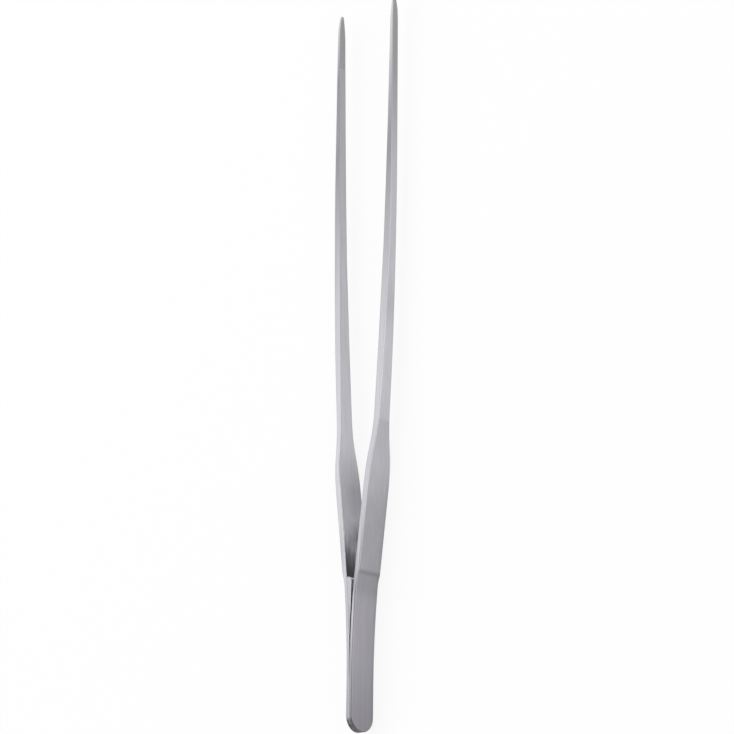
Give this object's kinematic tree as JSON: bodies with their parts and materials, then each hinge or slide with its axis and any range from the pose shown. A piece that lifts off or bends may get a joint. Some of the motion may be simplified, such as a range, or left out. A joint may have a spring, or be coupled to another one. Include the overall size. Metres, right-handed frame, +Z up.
{
  "type": "thumb forceps",
  "caption": "Long slender spring-steel thumb forceps: sprung arms welded at a rounded butt, stepped flat grips, bowed blades and fine grooved tips.",
  "frame": {"origin": "middle of the footprint, on the surface that the forceps lie on, half way from butt to tips and half way between the arms", "axes": "+Y along the arms from the butt to the tips, +X the way the right arm spreads, +Z up across the arms' width"},
  "size_m": [0.0266, 0.25, 0.0099],
  "materials": {
    "arm_steel": "satin brushed along the arm",
    "spacer_steel": "satin ground"
  },
  "bodies": {
    "root": {"left_arm": "arm_steel", "right_arm": "arm_steel", "spacer": "spacer_steel"}
  },
  "joints": []
}
